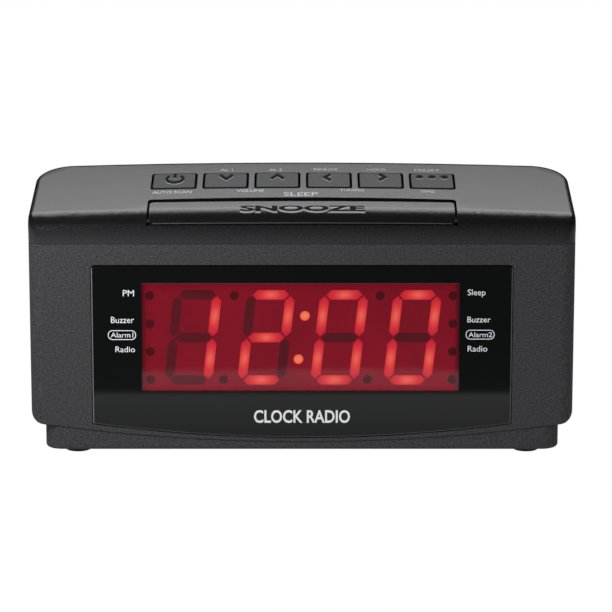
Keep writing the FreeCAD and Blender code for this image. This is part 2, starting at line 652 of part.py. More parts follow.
node("display_screws", [screw((x, DISPLAY_BOARD_BACK, z), "back", "8", "board_screw",
                              "board_head", "board_head_deep") for x, z in DISPLAY_SCREWS])
node("case_screws", [screw((x, y, "8"), "down", "post_split + 4", "case_screw", "case_head", "2")
                     for x, y in CASE_SCREWS])

# ---------------------------------------------------------------- keys, in the lean frame
crown_limit = rod(("0", "-reach", "-crown_radius"), "Y", "2*reach", "crown_radius + key_proud",
                  leaning=True)
for name, x in zip(KEYS, KEY_MIDDLES):
    half = "(key_hole/2 - key_gap)"
    cap = rounded(block((f"{x} - {half}", f"{x} + {half}"),
                        ("key_front + key_front_gap", "key_back - key_gap"),
                        ("-key_sink", "key_top"), leaning=True), "key_corner",
                  lambda at, edge: abs(at.z - value("(key_top - key_sink)/2")) < 0.01)
    crowned = common([cap, crown_limit])
    cap_soft = rounded(crowned, "key_edge", lambda at, edge: at.z > -2)
    rim = block((f"{x} - key_hole/2 - flange_rim", f"{x} + key_hole/2 + flange_rim"),
                ("key_front - flange_rim", "key_back + flange_rim"),
                ("-flange_top - flange_thick", "-flange_top"), leaning=True)
    stem = rod((x, "(key_front + key_back)/2", "-stem_end"), "Z", "stem_end - 4", "stem_radius",
               leaning=True)
    node(name, [fuse([cap_soft, rim, stem])], leaning=True)

snooze_limits = lean(rounded(
    block(("snooze_gap - snooze_half", "snooze_half - snooze_gap"),
          ("snooze_front + snooze_front_gap", "snooze_back - snooze_back_gap"),
          ("-key_sink", "key_top"), leaning=True), "snooze_corner",
    lambda at, edge: abs(at.z - value("(key_top - key_sink)/2")) < 0.01))
snooze_skin = common([snooze_limits, outer_wedge])
snooze_hollow = block(("3 - snooze_half", "snooze_half - 3"), ("1.8", "7.5"), ("-10", "-2.6"),
                      leaning=True)
SNOOZE_RIM = ("-flange_top - snooze_hang", "flange_thick - flange_top - snooze_hang")
RIM_BACK = "snooze_back + 1.4"
snooze_rim = fuse([
    block(("-snooze_half - flange_rim", "snooze_half + flange_rim"), ("8.2", RIM_BACK), SNOOZE_RIM,
          leaning=True)]
    + [block((f"{side} * (snooze_half - 1) - 1.9", f"{side} * (snooze_half - 1) + 1.9"),
             ("3.4", RIM_BACK), SNOOZE_RIM, leaning=True) for side in (-1, 1)])
snooze_stem = rod(("0", "snooze_stem", "-stem_end"), "Z", "stem_end - 2", "stem_radius",
                  leaning=True)
node("snooze_bar", [fuse([cut(snooze_skin, [lean(snooze_hollow)]),
                          lean(fuse([snooze_rim, snooze_stem]))])])

key_board = cut(
    block(("-key_board_half", "key_board_half"), ("key_board_front", "key_board_back"),
          ("-switch_bottom - board_thick", "-switch_bottom"), leaning=True),
    [rod((x, y, "-20"), "Z", "12", "1.2", leaning=True) for x, y in KEY_SCREWS])
node("key_board", [key_board], leaning=True)
node("key_switches", [cut(
    block((f"{x} - switch_size/2", f"{x} + switch_size/2"), (f"{y} - switch_size/2", f"{y} + switch_size/2"),
          ("-switch_bottom", "-switch_top"), leaning=True),
    [rod((x, y, "-switch_bore_end"), "Z", "5", "switch_bore", leaning=True)])
    for x, y in SWITCH_PLACES], leaning=True)
for key, (x, y) in zip(KEYS + ["snooze_bar"], SWITCH_PLACES):
    plunger = rod((x, y, "-plunger_end"), "Z", "plunger_end - stem_end", "plunger_radius", leaning=True)
    node(key.replace("_button", "").replace("_bar", "") + "_switch_plunger", [plunger], leaning=True)
node("key_board_screws", [
    screw((x, y, "-switch_bottom - board_thick"), "down", "board_thick + 6", "board_screw",
          "board_head", "board_head_deep",
          leaning=True) for x, y in KEY_SCREWS], leaning=True)

# ---------------------------------------------------------------- main board and what it carries
BOARD_TOP = "main_height + board_thick"


def on_board(x, y, height):
    """A component's box standing on the main board."""
    return block(x, y, (BOARD_TOP, f"{BOARD_TOP} + {height}"))


node("main_board", [cut(block(("main_left", "main_right"), ("main_front", "main_back"),
                              ("main_height", BOARD_TOP)),
                        [rod((x, y, "main_height - 2"), "Z", "6", "1.3") for x, y in MAIN_SCREWS])])
node("board_screws", [screw((x, y, BOARD_TOP), "up", "8", "1.0", "2.1", "1.5")
                      for x, y in MAIN_SCREWS])
tuner_can = rounded(on_board(("-4", "16"), ("40", "56"), "7"), "0.6",
                    lambda at, edge: at.z > value(BOARD_TOP) + 0.1)
node("tuner_module", [cut(tuner_can, [rod((x, y, f"{BOARD_TOP} + 4"), "Z", "6", "1.6")
                                      for x, y in (("1", "45"), ("11", "51"))])])


def chip_package(x, y, length, breadth, legs):
    """A chip with a row of gull legs along its two long sides."""
    package = block((f"{x} - {length}/2", f"{x} + {length}/2"),
                    (f"{y} - {breadth}/2", f"{y} + {breadth}/2"),
                    (f"{BOARD_TOP} + 0.3", f"{BOARD_TOP} + 2.3"))
    feet = []
    for number in range(legs):
        along = f"{x} - {length}/2 + ({number} + 0.5) * {length}/{legs}"
        feet.append(block((f"{along} - 0.25", f"{along} + 0.25"),
                          (f"{y} - {breadth}/2 - 1.2", f"{y} + {breadth}/2 + 1.2"),
                          (BOARD_TOP, f"{BOARD_TOP} + 0.5")))
    return fuse([package] + feet)


node("controller_chip", [chip_package("24", "27", "17", "7", 12)])
node("amplifier_chip", [chip_package("46", "40", "8", "4", 6)])
node("electrolytic_capacitors", [
    rounded(rod((x, y, BOARD_TOP), "Z", height, radius), "0.5",
            lambda at, edge: at.z > value(BOARD_TOP) + 1)
    for x, y, height, radius in (("22", "50", "12", "4"), ("32", "49", "11", "3.2"),
                                 ("40", "50", "11", "3.2"))])
node("timing_crystal", [fuse([rod((x, "30", BOARD_TOP), "Z", "3.6", "1.9") for x in ("-1", "1.6")]
                             + [block(("-1", "1.6"), ("28.1", "31.9"),
                                      (BOARD_TOP, f"{BOARD_TOP} + 3.6"))])])
jack_body = on_board(("jack_middle - 4.5", "jack_middle + 4.5"), ("jack_front", "jack_back"), "11")
jack_nose = rod(("jack_middle", "jack_back", "jack_height"), "Y", "jack_nose - jack_back",
                "jack_radius")
jack_hole = rod(("jack_middle", "jack_front + 4", "jack_height"), "Y", "20", "jack_bore")
jack_pin = rod(("jack_middle", "jack_front + 3", "jack_height"), "Y", "10", "jack_pin")
node("power_jack", [fuse([cut(fuse([jack_body, jack_nose]), [jack_hole]), jack_pin])])


def ribbon(name, corners, x, width):
    """A flat lead whose side view is the given outline."""
    strip = outline(name, "YZ_Plane", [(y, z) for y, z in corners], width)
    return place(strip, x, "0", "0")


node("display_ribbon", [ribbon("display_lead", [
    (DISPLAY_BOARD_BACK, "25"), ("17.6", BOARD_TOP), ("18.4", BOARD_TOP),
    (f"{DISPLAY_BOARD_BACK} + 0.6", "25.4"), (f"{DISPLAY_BOARD_BACK} + 0.6", "33"),
    (DISPLAY_BOARD_BACK, "33")], "6", "12")])
KEY_LEAD = "22"
UNDER_KEYS = "corner_height - (switch_bottom + board_thick)/cos(top_slope)"
node("key_ribbon", [ribbon("key_lead", [
    (KEY_LEAD, BOARD_TOP), (f"{KEY_LEAD} + 0.6", BOARD_TOP),
    (f"{KEY_LEAD} + 0.6", f"{UNDER_KEYS} + ({KEY_LEAD} + 0.6) * tan(top_slope)"),
    (KEY_LEAD, f"{UNDER_KEYS} + {KEY_LEAD} * tan(top_slope)")], "38", "14")])

# ---------------------------------------------------------------- speaker, in the lean frame
SPEAKER = ("speaker_x", "-speaker_drop")


def on_speaker(start, length, radius, end_radius=None):
    return rod((SPEAKER[0], start, SPEAKER[1]), "Y", length, radius, leaning=True,
               end_radius=end_radius)


BASKET = "speaker_flange - basket_end"
flange_ring = cut(on_speaker("speaker_flange", "top_length - wall - speaker_flange",
                             "speaker_radius"),
                  [on_speaker("speaker_flange - 1", "5", "basket_radius - sheet_metal")])
basket = cut(on_speaker("basket_end", BASKET, "basket_neck", "basket_radius"),
             [on_speaker("basket_end + sheet_metal", f"{BASKET} + 0.01 - sheet_metal",
                         "basket_neck - sheet_metal", "basket_radius - sheet_metal"),
              on_speaker("basket_end - 1", "4", "7.6")])
node("speaker_frame", [fuse([flange_ring, basket])], leaning=True)
node("speaker_magnet", [cut(on_speaker("magnet_end", "basket_end - magnet_end", "magnet_radius"),
                            [cut(on_speaker("magnet_end + 2", "20", "gap_outer"),
                                 [on_speaker("magnet_end", "30", "gap_inner")])])], leaning=True)
cone_depth = "speaker_flange - basket_end - 4"
cone_paper = cut(on_speaker("basket_end + 3", cone_depth, "cone_neck", "cone_rim"),
                 [on_speaker("basket_end + 3.6", cone_depth, "cone_neck", "cone_rim")])
voice_coil = cut(on_speaker("magnet_end + 4", "basket_end - magnet_end", "gap_outer - 0.3"),
                 [on_speaker("magnet_end", "30", "gap_inner + 0.3")])
dust_cap = on_speaker("basket_end + 3", "0.8", "7")
node("speaker_cone", [fuse([cone_paper, voice_coil, dust_cap])], leaning=True)
node("speaker_screws", [screw((x, "speaker_flange", z), "front", "3", "speaker_screw", "2.6", "1.4",
                              leaning=True) for x, z in SPEAKER_SCREWS], leaning=True)

# ---------------------------------------------------------------- aerial
ferrite = rod(("-rod_half", "rod_along", "-rod_drop"), "X", "2*rod_half", "rod_radius", leaning=True)
node("ferrite_rod", [ferrite], leaning=True)
node("aerial_coil", [cut(rod(("14", "rod_along", "-rod_drop"), "X", "coil_length", "coil_radius",
                             leaning=True), [ferrite])], leaning=True)
node("rod_clips", [cut(block((f"{side} * 37 - 1.5", f"{side} * 37 + 1.5"),
                             ("rod_along - rod_radius - 1.4", "35"),
                             ("-rod_drop - rod_radius - 1.2", "-switch_bottom - board_thick"),
                             leaning=True), [ferrite]) for side in (-1, 1)], leaning=True)
GROMMET_INSIDE = ("aerial_x", "top_length - wall - 0.8", "-aerial_drop")
GROMMET_OUTSIDE = ("aerial_x", "top_length", "-aerial_drop")
node("aerial_grommet", [cut(
    fuse([rod(GROMMET_INSIDE, "Y", "wall + 1.6", "2.0", leaning=True),
          rod(GROMMET_OUTSIDE, "Y", "0.8", "3.0", leaning=True),
          rod(GROMMET_INSIDE, "Y", "0.8", "3.0", leaning=True)]),
    [rod(("aerial_x", "30", "-aerial_drop"), "Y", "20", "aerial_bore", leaning=True)])], leaning=True)

# ---------------------------------------------------------------- check and write
doc.recompute()
faults = [f"{thing.Name}: {', '.join(thing.State)}" for thing in doc.Objects
          if "Invalid" in thing.State or "Error" in thing.State]
for part in NODES:
    if part.Shape.isNull() or not part.Shape.isValid():
        faults.append(f"{part.Label}: shape is null or invalid")
if faults:
    raise SystemExit("The model has faults:\n" + "\n".join(faults))

os.makedirs("parts", exist_ok=True)
for part in NODES:
    part.Shape.exportStep(f"parts/{part.Label}.step")
    box = part.Shape.BoundBox
    print(f"{part.Label:28s} solids {len(part.Shape.Solids):3d} volume {part.Shape.Volume:10.1f}  "
          f"x {box.XMin:7.1f} {box.XMax:7.1f}  y {box.YMin:7.1f} {box.YMax:7.1f}  "
          f"z {box.ZMin:7.1f} {box.ZMax:7.1f}")
print(len(NODES), "nodes")
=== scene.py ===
"""Looks of the clock radio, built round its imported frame.

Everything is in metres in the part's own frame: X to the right, Y to the back, Z up.  Lettering and
key symbols that lie on the sloping top are drawn flat in the lean frame (x across, along up the
slope) and then let down square to the slope onto the CAD surface under them.
"""
import json
import math

import bmesh
import bpy
import numpy as np
from mathutils import Matrix, Vector
from mathutils.bvhtree import BVHTree


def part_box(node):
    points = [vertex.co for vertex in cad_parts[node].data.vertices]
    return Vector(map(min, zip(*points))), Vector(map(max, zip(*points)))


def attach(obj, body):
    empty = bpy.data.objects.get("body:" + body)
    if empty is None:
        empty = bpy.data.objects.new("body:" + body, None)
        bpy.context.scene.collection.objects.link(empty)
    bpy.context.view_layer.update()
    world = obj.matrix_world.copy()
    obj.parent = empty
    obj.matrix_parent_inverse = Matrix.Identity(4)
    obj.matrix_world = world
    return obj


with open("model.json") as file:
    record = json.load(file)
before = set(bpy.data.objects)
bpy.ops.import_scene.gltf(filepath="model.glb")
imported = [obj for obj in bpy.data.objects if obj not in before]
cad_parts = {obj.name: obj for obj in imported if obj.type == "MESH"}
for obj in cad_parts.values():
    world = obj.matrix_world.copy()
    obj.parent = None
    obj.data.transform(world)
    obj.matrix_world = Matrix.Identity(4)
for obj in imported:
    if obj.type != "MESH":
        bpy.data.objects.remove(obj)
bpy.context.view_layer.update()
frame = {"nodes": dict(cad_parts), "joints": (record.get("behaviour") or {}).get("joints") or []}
nodes = frame["nodes"]
scene = bpy.context.scene

MM = 0.001
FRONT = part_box("cabinet")[0].y
PANEL_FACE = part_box("bezel_panel")[0].y
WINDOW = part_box("display_filter")
INWARD = Vector(next(joint["axis"] for joint in frame["joints"] if joint["name"] == "snooze_press"))
UPHILL = Vector((0, -INWARD.z, INWARD.y))
BACKWARD = Vector((0, 1, 0))
CORNER_HEIGHT = 79.1 * MM           # the sharp corner that the front and the slope would make
CORNER = Vector((0, FRONT, CORNER_HEIGHT))
SEAM = 69.7 * MM                    # height at which the top cover meets the cabinet
CREST = 78.0 * MM                   # height at which the front turns over into the slope
CAPITAL = 0.69                      # height of a capital in the plain font, at size 1
INK = 0.03 * MM                     # thickness of print and of the thin lines on the case
SMOOTH_GRID = 0.0005 * MM           # vertices this close are one vertex to the shading
BAR_GRID = 0.01 * MM                # and this close to the light bars' map
SHEEN_SCALE = 1500                  # how fine the unevenness of a moulding's sheen is
SHEEN_SPREAD = 0.015                # and how far its roughness goes either way
FLANGE = 2.2 * MM                   # the window's rim that the panel hides
DARK_EDGE = 1.31 * MM               # the painted shade of its edge inside that, at each side
WINDOW_BOW = 0.038                  # how far its face leans down, as a slope
DIGIT_SLANT = math.tan(math.radians(6.5))
SHARPEST_MITRE = 0.4                # keeps a sharp corner of a stroke from running out to a point
BAR_MAP = "bar_place"               # the light bars' own place map
SMOOTH_LIMIT = math.radians(38)     # edges flatter than this are shaded smooth


# ------------------------------------------------------------------ node helpers
def new_material(name):
    material = bpy.data.materials.new(name)
    material.use_nodes = True
    return material, material.node_tree, material.node_tree.nodes["Principled BSDF"]


def connect(tree, start, end):
    tree.links.new(start, end)


def own_place(tree):
    """The place in the piece's own coordinates."""
    return tree.nodes.new("ShaderNodeTexCoord").outputs["Object"]


def split(tree, place):
    """The X, Y and Z of a place."""
    node = tree.nodes.new("ShaderNodeSeparateXYZ")
    connect(tree, place, node.inputs["Vector"])
    return node.outputs


def compute(tree, operation, *values):
    """A sum of sockets and plain numbers."""
    node = tree.nodes.new("ShaderNodeMath")
    node.operation = operation
    for place, value in enumerate(values):
        if isinstance(value, float):
            node.inputs[place].default_value = value
        else:
            connect(tree, value, node.inputs[place])
    return node.outputs["Value"]


def share_between(tree, value, start, end):
    """How far a value is on its way from start to end, 0 to 1."""
    node = tree.nodes.new("ShaderNodeMapRange")
    node.inputs["From Min"].default_value = start
    node.inputs["From Max"].default_value = end
    connect(tree, value, node.inputs["Value"])
    return node.outputs["Result"]


def noise(tree, scale, detail=2.0, roughness=0.5):
    """Noise in the piece's own coordinates, scale in waves per metre."""
    texture = tree.nodes.new("ShaderNodeTexNoise")
    texture.inputs["Scale"].default_value = scale
    texture.inputs["Detail"].default_value = detail
    texture.inputs["Roughness"].default_value = roughness
    connect(tree, own_place(tree), texture.inputs["Vector"])
    return texture.outputs["Fac"]


def ramp(tree, source, stops):
    """A colour ramp with (place, colour) stops; grey levels may be plain numbers."""
    node = tree.nodes.new("ShaderNodeValToRGB")
    elements = node.color_ramp.elements
    while len(elements) < len(stops):
        elements.new(0.5)
    for element, (place, colour) in zip(elements, stops):
        element.position = place
        element.color = (colour,) * 3 + (1,) if isinstance(colour, float) else tuple(colour) + (1,)
    connect(tree, source, node.inputs["Fac"])
    return node.outputs["Color"]


def bump(tree, principled, height, strength, distance, under=None):
    """Relief on the shader's normal, over another normal where one is given."""
    node = tree.nodes.new("ShaderNodeBump")
    node.inputs["Strength"].default_value = strength
    node.inputs["Distance"].default_value = distance
    connect(tree, height, node.inputs["Height"])
    if under is not None:
        connect(tree, under, node.inputs["Normal"])
    connect(tree, node.outputs["Normal"], principled.inputs["Normal"])


def moulded(name, colour, roughness, grain=None, spread=0.05, specular=0.5, speck=60):
    """Moulded plastic: a colour that varies a little, uneven sheen and an optional spark grain.

    The grain is its scale, strength and depth; speck is the scale of the colour's variation.
    """
    material, tree, principled = new_material(name)
    drift = noise(tree, speck, 3)
    dark = [channel * (1 - spread) for channel in colour]
    light = [channel * (1 + spread) for channel in colour]
    connect(tree, ramp(tree, drift, [(0.3, dark), (0.7, light)]), principled.inputs["Base Color"])
    sheen = noise(tree, SHEEN_SCALE, 2)
    connect(tree, ramp(tree, sheen, [(0.3, roughness - SHEEN_SPREAD),
                                     (0.7, roughness + SHEEN_SPREAD)]),
            principled.inputs["Roughness"])
    principled.inputs["Specular IOR Level"].default_value = specular
    if grain:
        scale, strength, depth = grain
        bump(tree, principled, noise(tree, scale, 4, 0.6), strength, depth)
    return material


def painted_shade_to_crest(material):
    """Paint shade into a moulding's colour, pale at the seam and darker up to the crest, and let
    its grain fade towards the crest.
    """
    tree = material.node_tree
    principled = tree.nodes["Principled BSDF"]
    shade_and_grain_share = share_between(tree, split(tree, own_place(tree))["Z"], SEAM, CREST)
    # Painted shade: the colour is multiplied down from the seam to the crest.
    painted_shade = tree.nodes.new("ShaderNodeMixRGB")
    painted_shade.blend_type = "MULTIPLY"
    painted_shade.inputs["Fac"].default_value = 1.0
    connect(tree, principled.inputs["Base Color"].links[0].from_socket, painted_shade.inputs["Color1"])
    connect(tree, ramp(tree, shade_and_grain_share, [(0.0, 1.0), (0.42, 0.57), (0.8, 0.18), (1.0, 0.155)]),
            painted_shade.inputs["Color2"])
    connect(tree, painted_shade.outputs["Color"], principled.inputs["Base Color"])
    grain = principled.inputs["Normal"].links[0].from_node
    connect(tree, ramp(tree, shade_and_grain_share, [(0.0, 0.85), (0.45, 0.45), (0.9, 0.05)]),
            grain.inputs["Strength"])


def metal(name, colour, roughness, scale=900):
    """Plain metal with slightly uneven colour and polish."""
    material, tree, principled = new_material(name)
    principled.inputs["Metallic"].default_value = 1.0
    drift = noise(tree, scale, 3)
    connect(tree, ramp(tree, drift, [(0.3, [c * 0.85 for c in colour]), (0.7, colour)]),
            principled.inputs["Base Color"])
    connect(tree, ramp(tree, drift, [(0.3, roughness - 0.08), (0.7, roughness + 0.08)]),
            principled.inputs["Roughness"])
    return material


def glowing(name, stops, strength, across=0.25):
    """A light bar: its glow falls off along the bar and a little across it, from its own map."""
    material, tree, principled = new_material(name)
    map_node = tree.nodes.new("ShaderNodeAttribute")
    map_node.attribute_name = BAR_MAP
    place = split(tree, map_node.outputs["Vector"])
    along = compute(tree, "MULTIPLY", place["X"], place["X"])
    beside = compute(tree, "MULTIPLY", place["Y"], place["Y"])
    fall = compute(tree, "ADD", along, compute(tree, "MULTIPLY", beside, across))
    connect(tree, ramp(tree, fall, stops), principled.inputs["Emission Color"])
    principled.inputs["Emission Strength"].default_value = strength
    principled.inputs["Base Color"].default_value = (0.10, 0.01, 0.015, 1)
    principled.inputs["Roughness"].default_value = 0.4
    return material


def dress(material, *names):
    """Give CAD nodes a material."""
    for name in names:
        slots = nodes[name].data.materials
        slots.clear()
        slots.append(material)
        for polygon in nodes[name].data.polygons:
            polygon.material_index = 0


def place_key(point, grid):
    """One key for all the vertices that lie at a place."""
    return tuple(round(value / grid) for value in point)


def smooth(thing):
    """Shade a mesh smooth across its flatter edges, whether or not its faces share vertices."""
    mesh = thing.data
    triangle = np.array([polygon.normal for polygon in mesh.polygons])
    area = np.array([polygon.area for polygon in mesh.polygons])
    keys = [place_key(vertex.co, SMOOTH_GRID) for vertex in mesh.vertices]
    at_place = {}
    for polygon in mesh.polygons:
        for vertex in polygon.vertices:
            at_place.setdefault(keys[vertex], []).append(polygon.index)
    nearby = {key: np.array(sorted(set(found))) for key, found in at_place.items()}
    cosine = math.cos(SMOOTH_LIMIT)
    normals = []
    for polygon in mesh.polygons:
        own = triangle[polygon.index]
        for vertex in polygon.vertices:
            found = nearby[keys[vertex]]
            agree = found[triangle[found] @ own > cosine]
            total = (triangle[agree] * area[agree, None]).sum(0) if len(agree) else own
            size = np.linalg.norm(total)
            normals.append(tuple(total / size) if size > 0 else tuple(own))
    for polygon in mesh.polygons:
        polygon.use_smooth = True
    mesh.normals_split_custom_set(normals)


# ------------------------------------------------------------------ mesh helpers
def make_mesh(name, vertices, faces):
    mesh = bpy.data.meshes.new(name)
    mesh.from_pydata([tuple(vertex) for vertex in vertices], [], faces)
    mesh.validate()
    thing = bpy.data.objects.new(name, mesh)
    scene.collection.objects.link(thing)
    return thing


def sections(start, count, closed=False):
    """Faces round a run of four-cornered sections, with its two ends shut unless it is closed."""
    faces = []
    for index in range(count if closed else count - 1):
        here, there = start + 4 * index, start + 4 * ((index + 1) % count)
        for corner in range(4):
            following = (corner + 1) % 4
            faces.append((here + corner, here + following, there + following, there + corner))
    if not closed:
        last = start + 4 * (count - 1)
        faces += [(start + 3, start + 2, start + 1, start), (last, last + 1, last + 2, last + 3)]
    return faces


def lettering(name, words, height, width, weight):
    """Plain lettering lying flat and centred: x to the right, y up from the capitals' middle.

    The capitals are height tall, and the whole line is drawn out or in to width.  Weight is how far
    the strokes are thickened, at the font's size of 1.
    """
    curve = bpy.data.curves.new(name, "FONT")
    curve.body = words
    curve.size = 1.0
    curve.align_x = "CENTER"
    curve.offset = weight
    curve.extrude = 0.01
    curve.resolution_u = 3
    holder = bpy.data.objects.new(name + "_curve", curve)
    scene.collection.objects.link(holder)
    bpy.context.view_layer.update()
    mesh = bpy.data.meshes.new_from_object(holder)
    bpy.data.objects.remove(holder)
    xs = [vertex.co.x for vertex in mesh.vertices]
    across = width / (max(xs) - min(xs))
    up = height / (CAPITAL + 2 * weight)
    middle = (max(xs) + min(xs)) / 2
    for vertex in mesh.vertices:
        x, y, z = vertex.co
        vertex.co = ((x - middle) * across, (y - CAPITAL / 2) * up, INK if z > 0 else 0.0)
    thing = bpy.data.objects.new(name, mesh)
    scene.collection.objects.link(thing)
    return thing


def ribbon(name, lines, width):
    """Flat strokes of one width along (points, closed) lines, with mitred corners."""
    vertices, faces = [], []
    for points, closed in lines:
        start, count = len(vertices), len(points)
        for index, point in enumerate(points):
            before = points[index - 1] if closed or index else None
            after = points[(index + 1) % count] if closed or index + 1 < count else None
            sides = []
            for first, second in ((before, point), (point, after)):
                if first is not None and second is not None:
                    run = Vector((second[0] - first[0], second[1] - first[1])).normalized()
                    sides.append(Vector((-run.y, run.x)))
            out = (sum(sides, Vector((0, 0)))).normalized()
            reach = width / 2 / max(out.dot(sides[0]), SHARPEST_MITRE)
            for side, z in ((1, 0), (1, INK), (-1, INK), (-1, 0)):
                vertices.append((point[0] + out.x * reach * side, point[1] + out.y * reach * side,
                                 z))
        faces += sections(start, count, closed)
    return make_mesh(name, vertices, faces)


def arc(middle, half_width, half_height, start, end, steps=24):
    """Points along part of an ellipse, from start to end in degrees."""
    return [(middle[0] + half_width * math.cos(math.radians(start + (end - start) * i / steps)),
             middle[1] + half_height * math.sin(math.radians(start + (end - start) * i / steps)))
            for i in range(steps + 1)]


def dots(name, middles, radius):
    """Flat round dots."""
    vertices, faces = [], []
    sides = 28
    for x, y in middles:
        start = len(vertices)
        for z in (0, INK):
            vertices += [(x + radius * math.cos(2 * math.pi * i / sides),
                          y + radius * math.sin(2 * math.pi * i / sides), z)
                         for i in range(sides)]
        faces.append(list(range(start + sides - 1, start - 1, -1)))
        faces.append(list(range(start + sides, start + 2 * sides)))
        faces += [(start + i, start + (i + 1) % sides, start + sides + (i + 1) % sides,
                   start + sides + i) for i in range(sides)]
    return make_mesh(name, vertices, faces)


def stand_on_panel(thing, x, z):
    """Turn a flat drawing up to face the front and set it at x and z on the panel's face."""
    thing.data.transform(Matrix.Translation((x, PANEL_FACE, z))
                         @ Matrix.Rotation(math.radians(90), 4, "X"))


def slice_rows(thing, step):
    """Cut a flat drawing across in rows, so that it can follow a curved surface."""
    shape = bmesh.new()
    shape.from_mesh(thing.data)
    bmesh.ops.remove_doubles(shape, verts=shape.verts, dist=1e-7)
    heights = [vertex.co.y for vertex in shape.verts]
    row = min(heights) + step
    while row < max(heights):
        bmesh.ops.bisect_plane(shape, geom=shape.verts[:] + shape.edges[:] + shape.faces[:],
                               plane_co=(0, row, 0), plane_no=(0, 1, 0))
        row += step
    shape.to_mesh(thing.data)
    shape.free()


def surface_of(*names):
    """One ray-testable surface made of several pieces."""
    vertices, faces = [], []
    for name in names:
        mesh = nodes[name].data
        start = len(vertices)
        vertices += [vertex.co.copy() for vertex in mesh.vertices]
        faces += [[start + index for index in polygon.vertices] for polygon in mesh.polygons]
    return BVHTree.FromPolygons(vertices, faces)


def lay_on_slope(thing, surface, x, along, lift=0.0):
    """Let a flat drawing down onto the sloping top, with its own thickness standing up from it."""
    for vertex in thing.data.vertices:
        start = (CORNER + Vector((x + vertex.co.x, 0, 0)) + UPHILL * (along + vertex.co.y)
                 - INWARD * 20 * MM)
        hit = surface.ray_cast(start, INWARD)[0]
        if hit is not None:
            vertex.co = hit - INWARD * (lift + vertex.co.z)


def finish_piece(thing, material, body):
    """Dress a piece and say what it rides on."""
    thing.data.materials.clear()
    thing.data.materials.append(material)
    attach(thing, body)


# ------------------------------------------------------------------ materials
case_plastic = moulded("case_plastic", (0.050, 0.050, 0.054), 0.56, (1700, 1.0, 0.00022),
                       spread=0.50, speck=1700)
top_plastic = moulded("top_plastic", (0.037, 0.037, 0.0395), 0.24, (2200, 0.06, 0.00012),
                      spread=0.35, speck=1900)
# Painted shade on the top cover: its colour darkens towards the crest.
painted_shade_to_crest(top_plastic)
key_plastic = moulded("key_plastic", (0.012, 0.012, 0.014), 0.34, (3500, 0.10, 0.00004),
                      spread=0.12, specular=0.22, speck=3500)
panel_gloss = moulded("panel_gloss", (0.0035, 0.004, 0.004), 0.06, spread=0.05)
door_plastic = moulded("door_plastic", (0.030, 0.031, 0.034), 0.50, (3000, 0.5, 0.00008))
black_component = moulded("black_component", (0.012, 0.012, 0.013), 0.35, (5000, 0.1, 0.00003))
plunger_plastic = moulded("plunger_plastic", (0.05, 0.05, 0.05), 0.4)
clip_plastic = moulded("clip_plastic", (0.62, 0.6, 0.54), 0.45)
rubber = moulded("rubber", (0.012, 0.012, 0.012), 0.75, (3000, 0.3, 0.00005))
ferrite = moulded("ferrite", (0.035, 0.033, 0.033), 0.6, (4000, 0.4, 0.00004))
ribbon_grey = moulded("ribbon_cable", (0.36, 0.36, 0.37), 0.4)
cone_paper = moulded("cone_paper", (0.03, 0.03, 0.03), 0.85, (2500, 0.5, 0.0001))
cell_jacket = moulded("cell_jacket", (0.03, 0.07, 0.11), 0.3)
sleeve = moulded("capacitor_sleeve", (0.02, 0.04, 0.12), 0.3)
circuit_board = moulded("circuit_board", (0.006, 0.040, 0.018), 0.3, (1500, 0.2, 0.00002))
speaker_steel = moulded("speaker_steel", (0.10, 0.10, 0.105), 0.4)
screw_steel = metal("screw_steel", (0.55, 0.55, 0.56), 0.35)
tinned_steel = metal("tinned_steel", (0.62, 0.62, 0.62), 0.38)
copper_wire = metal("copper_wire", (0.55, 0.22, 0.09), 0.35, 4000)
print_white = moulded("print_white", (0.88, 0.90, 0.96), 0.5)
print_pale = moulded("print_pale", (0.30, 0.33, 0.38), 0.5)
print_grey = moulded("print_grey", (0.26, 0.27, 0.28), 0.5)
# Painted shade and painted highlight for the moulded-in marks and the snooze bar's joint.
recess_shadow = moulded("recess_shadow", (0.004, 0.004, 0.005), 0.7, specular=0.08)
painted_wall_highlight = moulded("painted_wall_highlight", (0.20, 0.20, 0.21), 0.5)
lit_bar = glowing("lit_segment", [(0.0, (0.95, 0.16, 0.10)), (0.10, (0.88, 0.085, 0.066)),
                                  (0.32, (0.76, 0.036, 0.044)), (1.0, (0.48, 0.008, 0.024))], 1.42)
lit_dot = glowing("lit_dot", [(0.0, (0.96, 0.25, 0.12)), (0.6, (0.95, 0.16, 0.08)),
                              (1.0, (0.8, 0.08, 0.05))], 1.6, across=1.0)
dark_bar = moulded("dark_segment", (0.13, 0.020, 0.026), 0.5)
dark_dot = moulded("dark_dot", (0.045, 0.009, 0.012), 0.5)
chip_clear = moulded("chip_clear", (0.6, 0.5, 0.25), 0.2)


def painted_glow_body(name, colour, glow):
    """The red display body with a painted glow: it sends out a little uneven red light of its own,
    standing in for light from the lit segments.
    """
    material = moulded(name, colour, 0.5)
    tree = material.node_tree
    principled = tree.nodes["Principled BSDF"]
    low = [channel * 0.85 for channel in glow]
    high = [channel * 1.15 for channel in glow]
    connect(tree, ramp(tree, noise(tree, 30, 2), [(0.35, low), (0.65, high)]),
            principled.inputs["Emission Color"])
    principled.inputs["Emission Strength"].default_value = 1.0
    return material


# The display body carries a painted glow.
display_red = painted_glow_body("display_black", (0.10, 0.006, 0.012), (0.24, 0.0022, 0.013))


